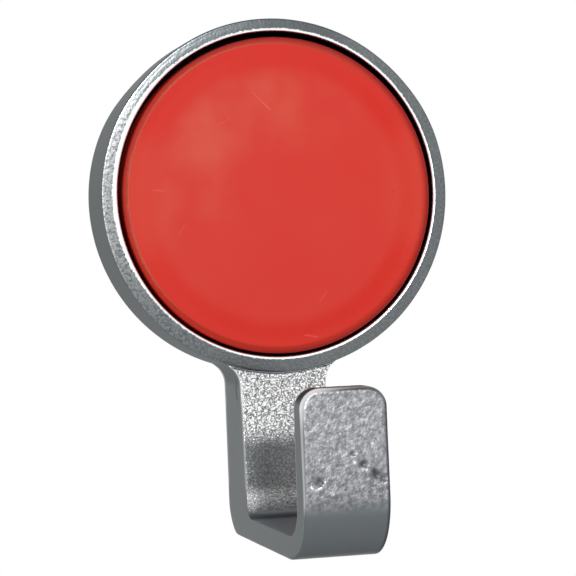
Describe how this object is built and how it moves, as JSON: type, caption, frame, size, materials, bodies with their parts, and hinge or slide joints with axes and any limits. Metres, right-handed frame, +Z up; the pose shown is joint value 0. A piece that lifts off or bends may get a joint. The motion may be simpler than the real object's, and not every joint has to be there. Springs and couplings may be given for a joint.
{
  "type": "wall tool hook",
  "caption": "Cast wall hook with a round cup head that holds a flat coloured cap, a deep stem, and a thin floor that turns up into a rounded tip.",
  "frame": {"origin": "on the wall plane, on the axis of the round head and of its screw hole", "axes": "+Z up, +Y into the wall, so the hook reaches out along -Y; +X to the right as seen from the front"},
  "size_m": [0.04, 0.0326, 0.0589],
  "materials": {
    "cast_body": "bead-blasted silver-grey casting",
    "cap": "matt moulded plastic, lightly scuffed"
  },
  "bodies": {
    "root": {"hook_body": "cast_body", "face_cap": "cap"}
  },
  "joints": []
}
